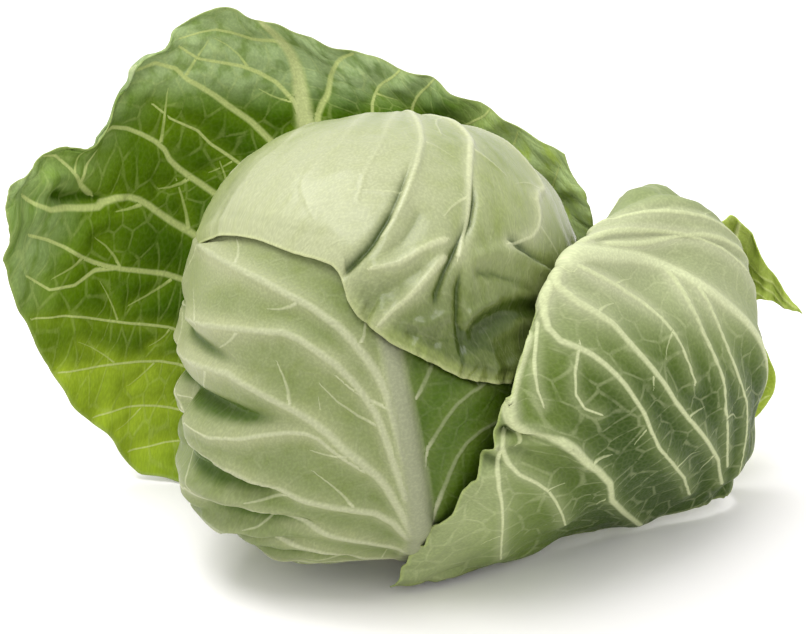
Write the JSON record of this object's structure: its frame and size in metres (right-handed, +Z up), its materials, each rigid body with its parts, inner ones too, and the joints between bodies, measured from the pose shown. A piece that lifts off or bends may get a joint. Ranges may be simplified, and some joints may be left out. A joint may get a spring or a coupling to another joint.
{
  "type": "cabbage head",
  "caption": "Round head of cabbage on a short cut stem: a dense ball wrapped by a ribbed front leaf and a cap leaf, with loose outer leaves open behind and folded over at the right.",
  "frame": {"origin": "middle of the stem's flat cut, on the surface the cabbage rests on", "axes": "+Z up; -Y is the front of the head, where the white-ribbed leaf is; +X is towards the leaf that folds over, along the longest extent"},
  "size_m": [0.3838, 0.2281, 0.2236],
  "materials": {
    "cut_stem": "matte, damp cut plant fibre",
    "inner_leaf": "satin, waxy pale green leaf",
    "wrapped_leaf": "satin, waxy light green leaf with white ribs",
    "loose_leaf": "satin, waxy mid green leaf with pale veins"
  },
  "bodies": {
    "root": {"stem": "cut_stem", "head": "inner_leaf", "front_leaf": "wrapped_leaf", "cap_leaf": "wrapped_leaf", "rear_leaf": "loose_leaf", "right_leaf": "loose_leaf", "small_leaf": "loose_leaf"}
  },
  "joints": []
}
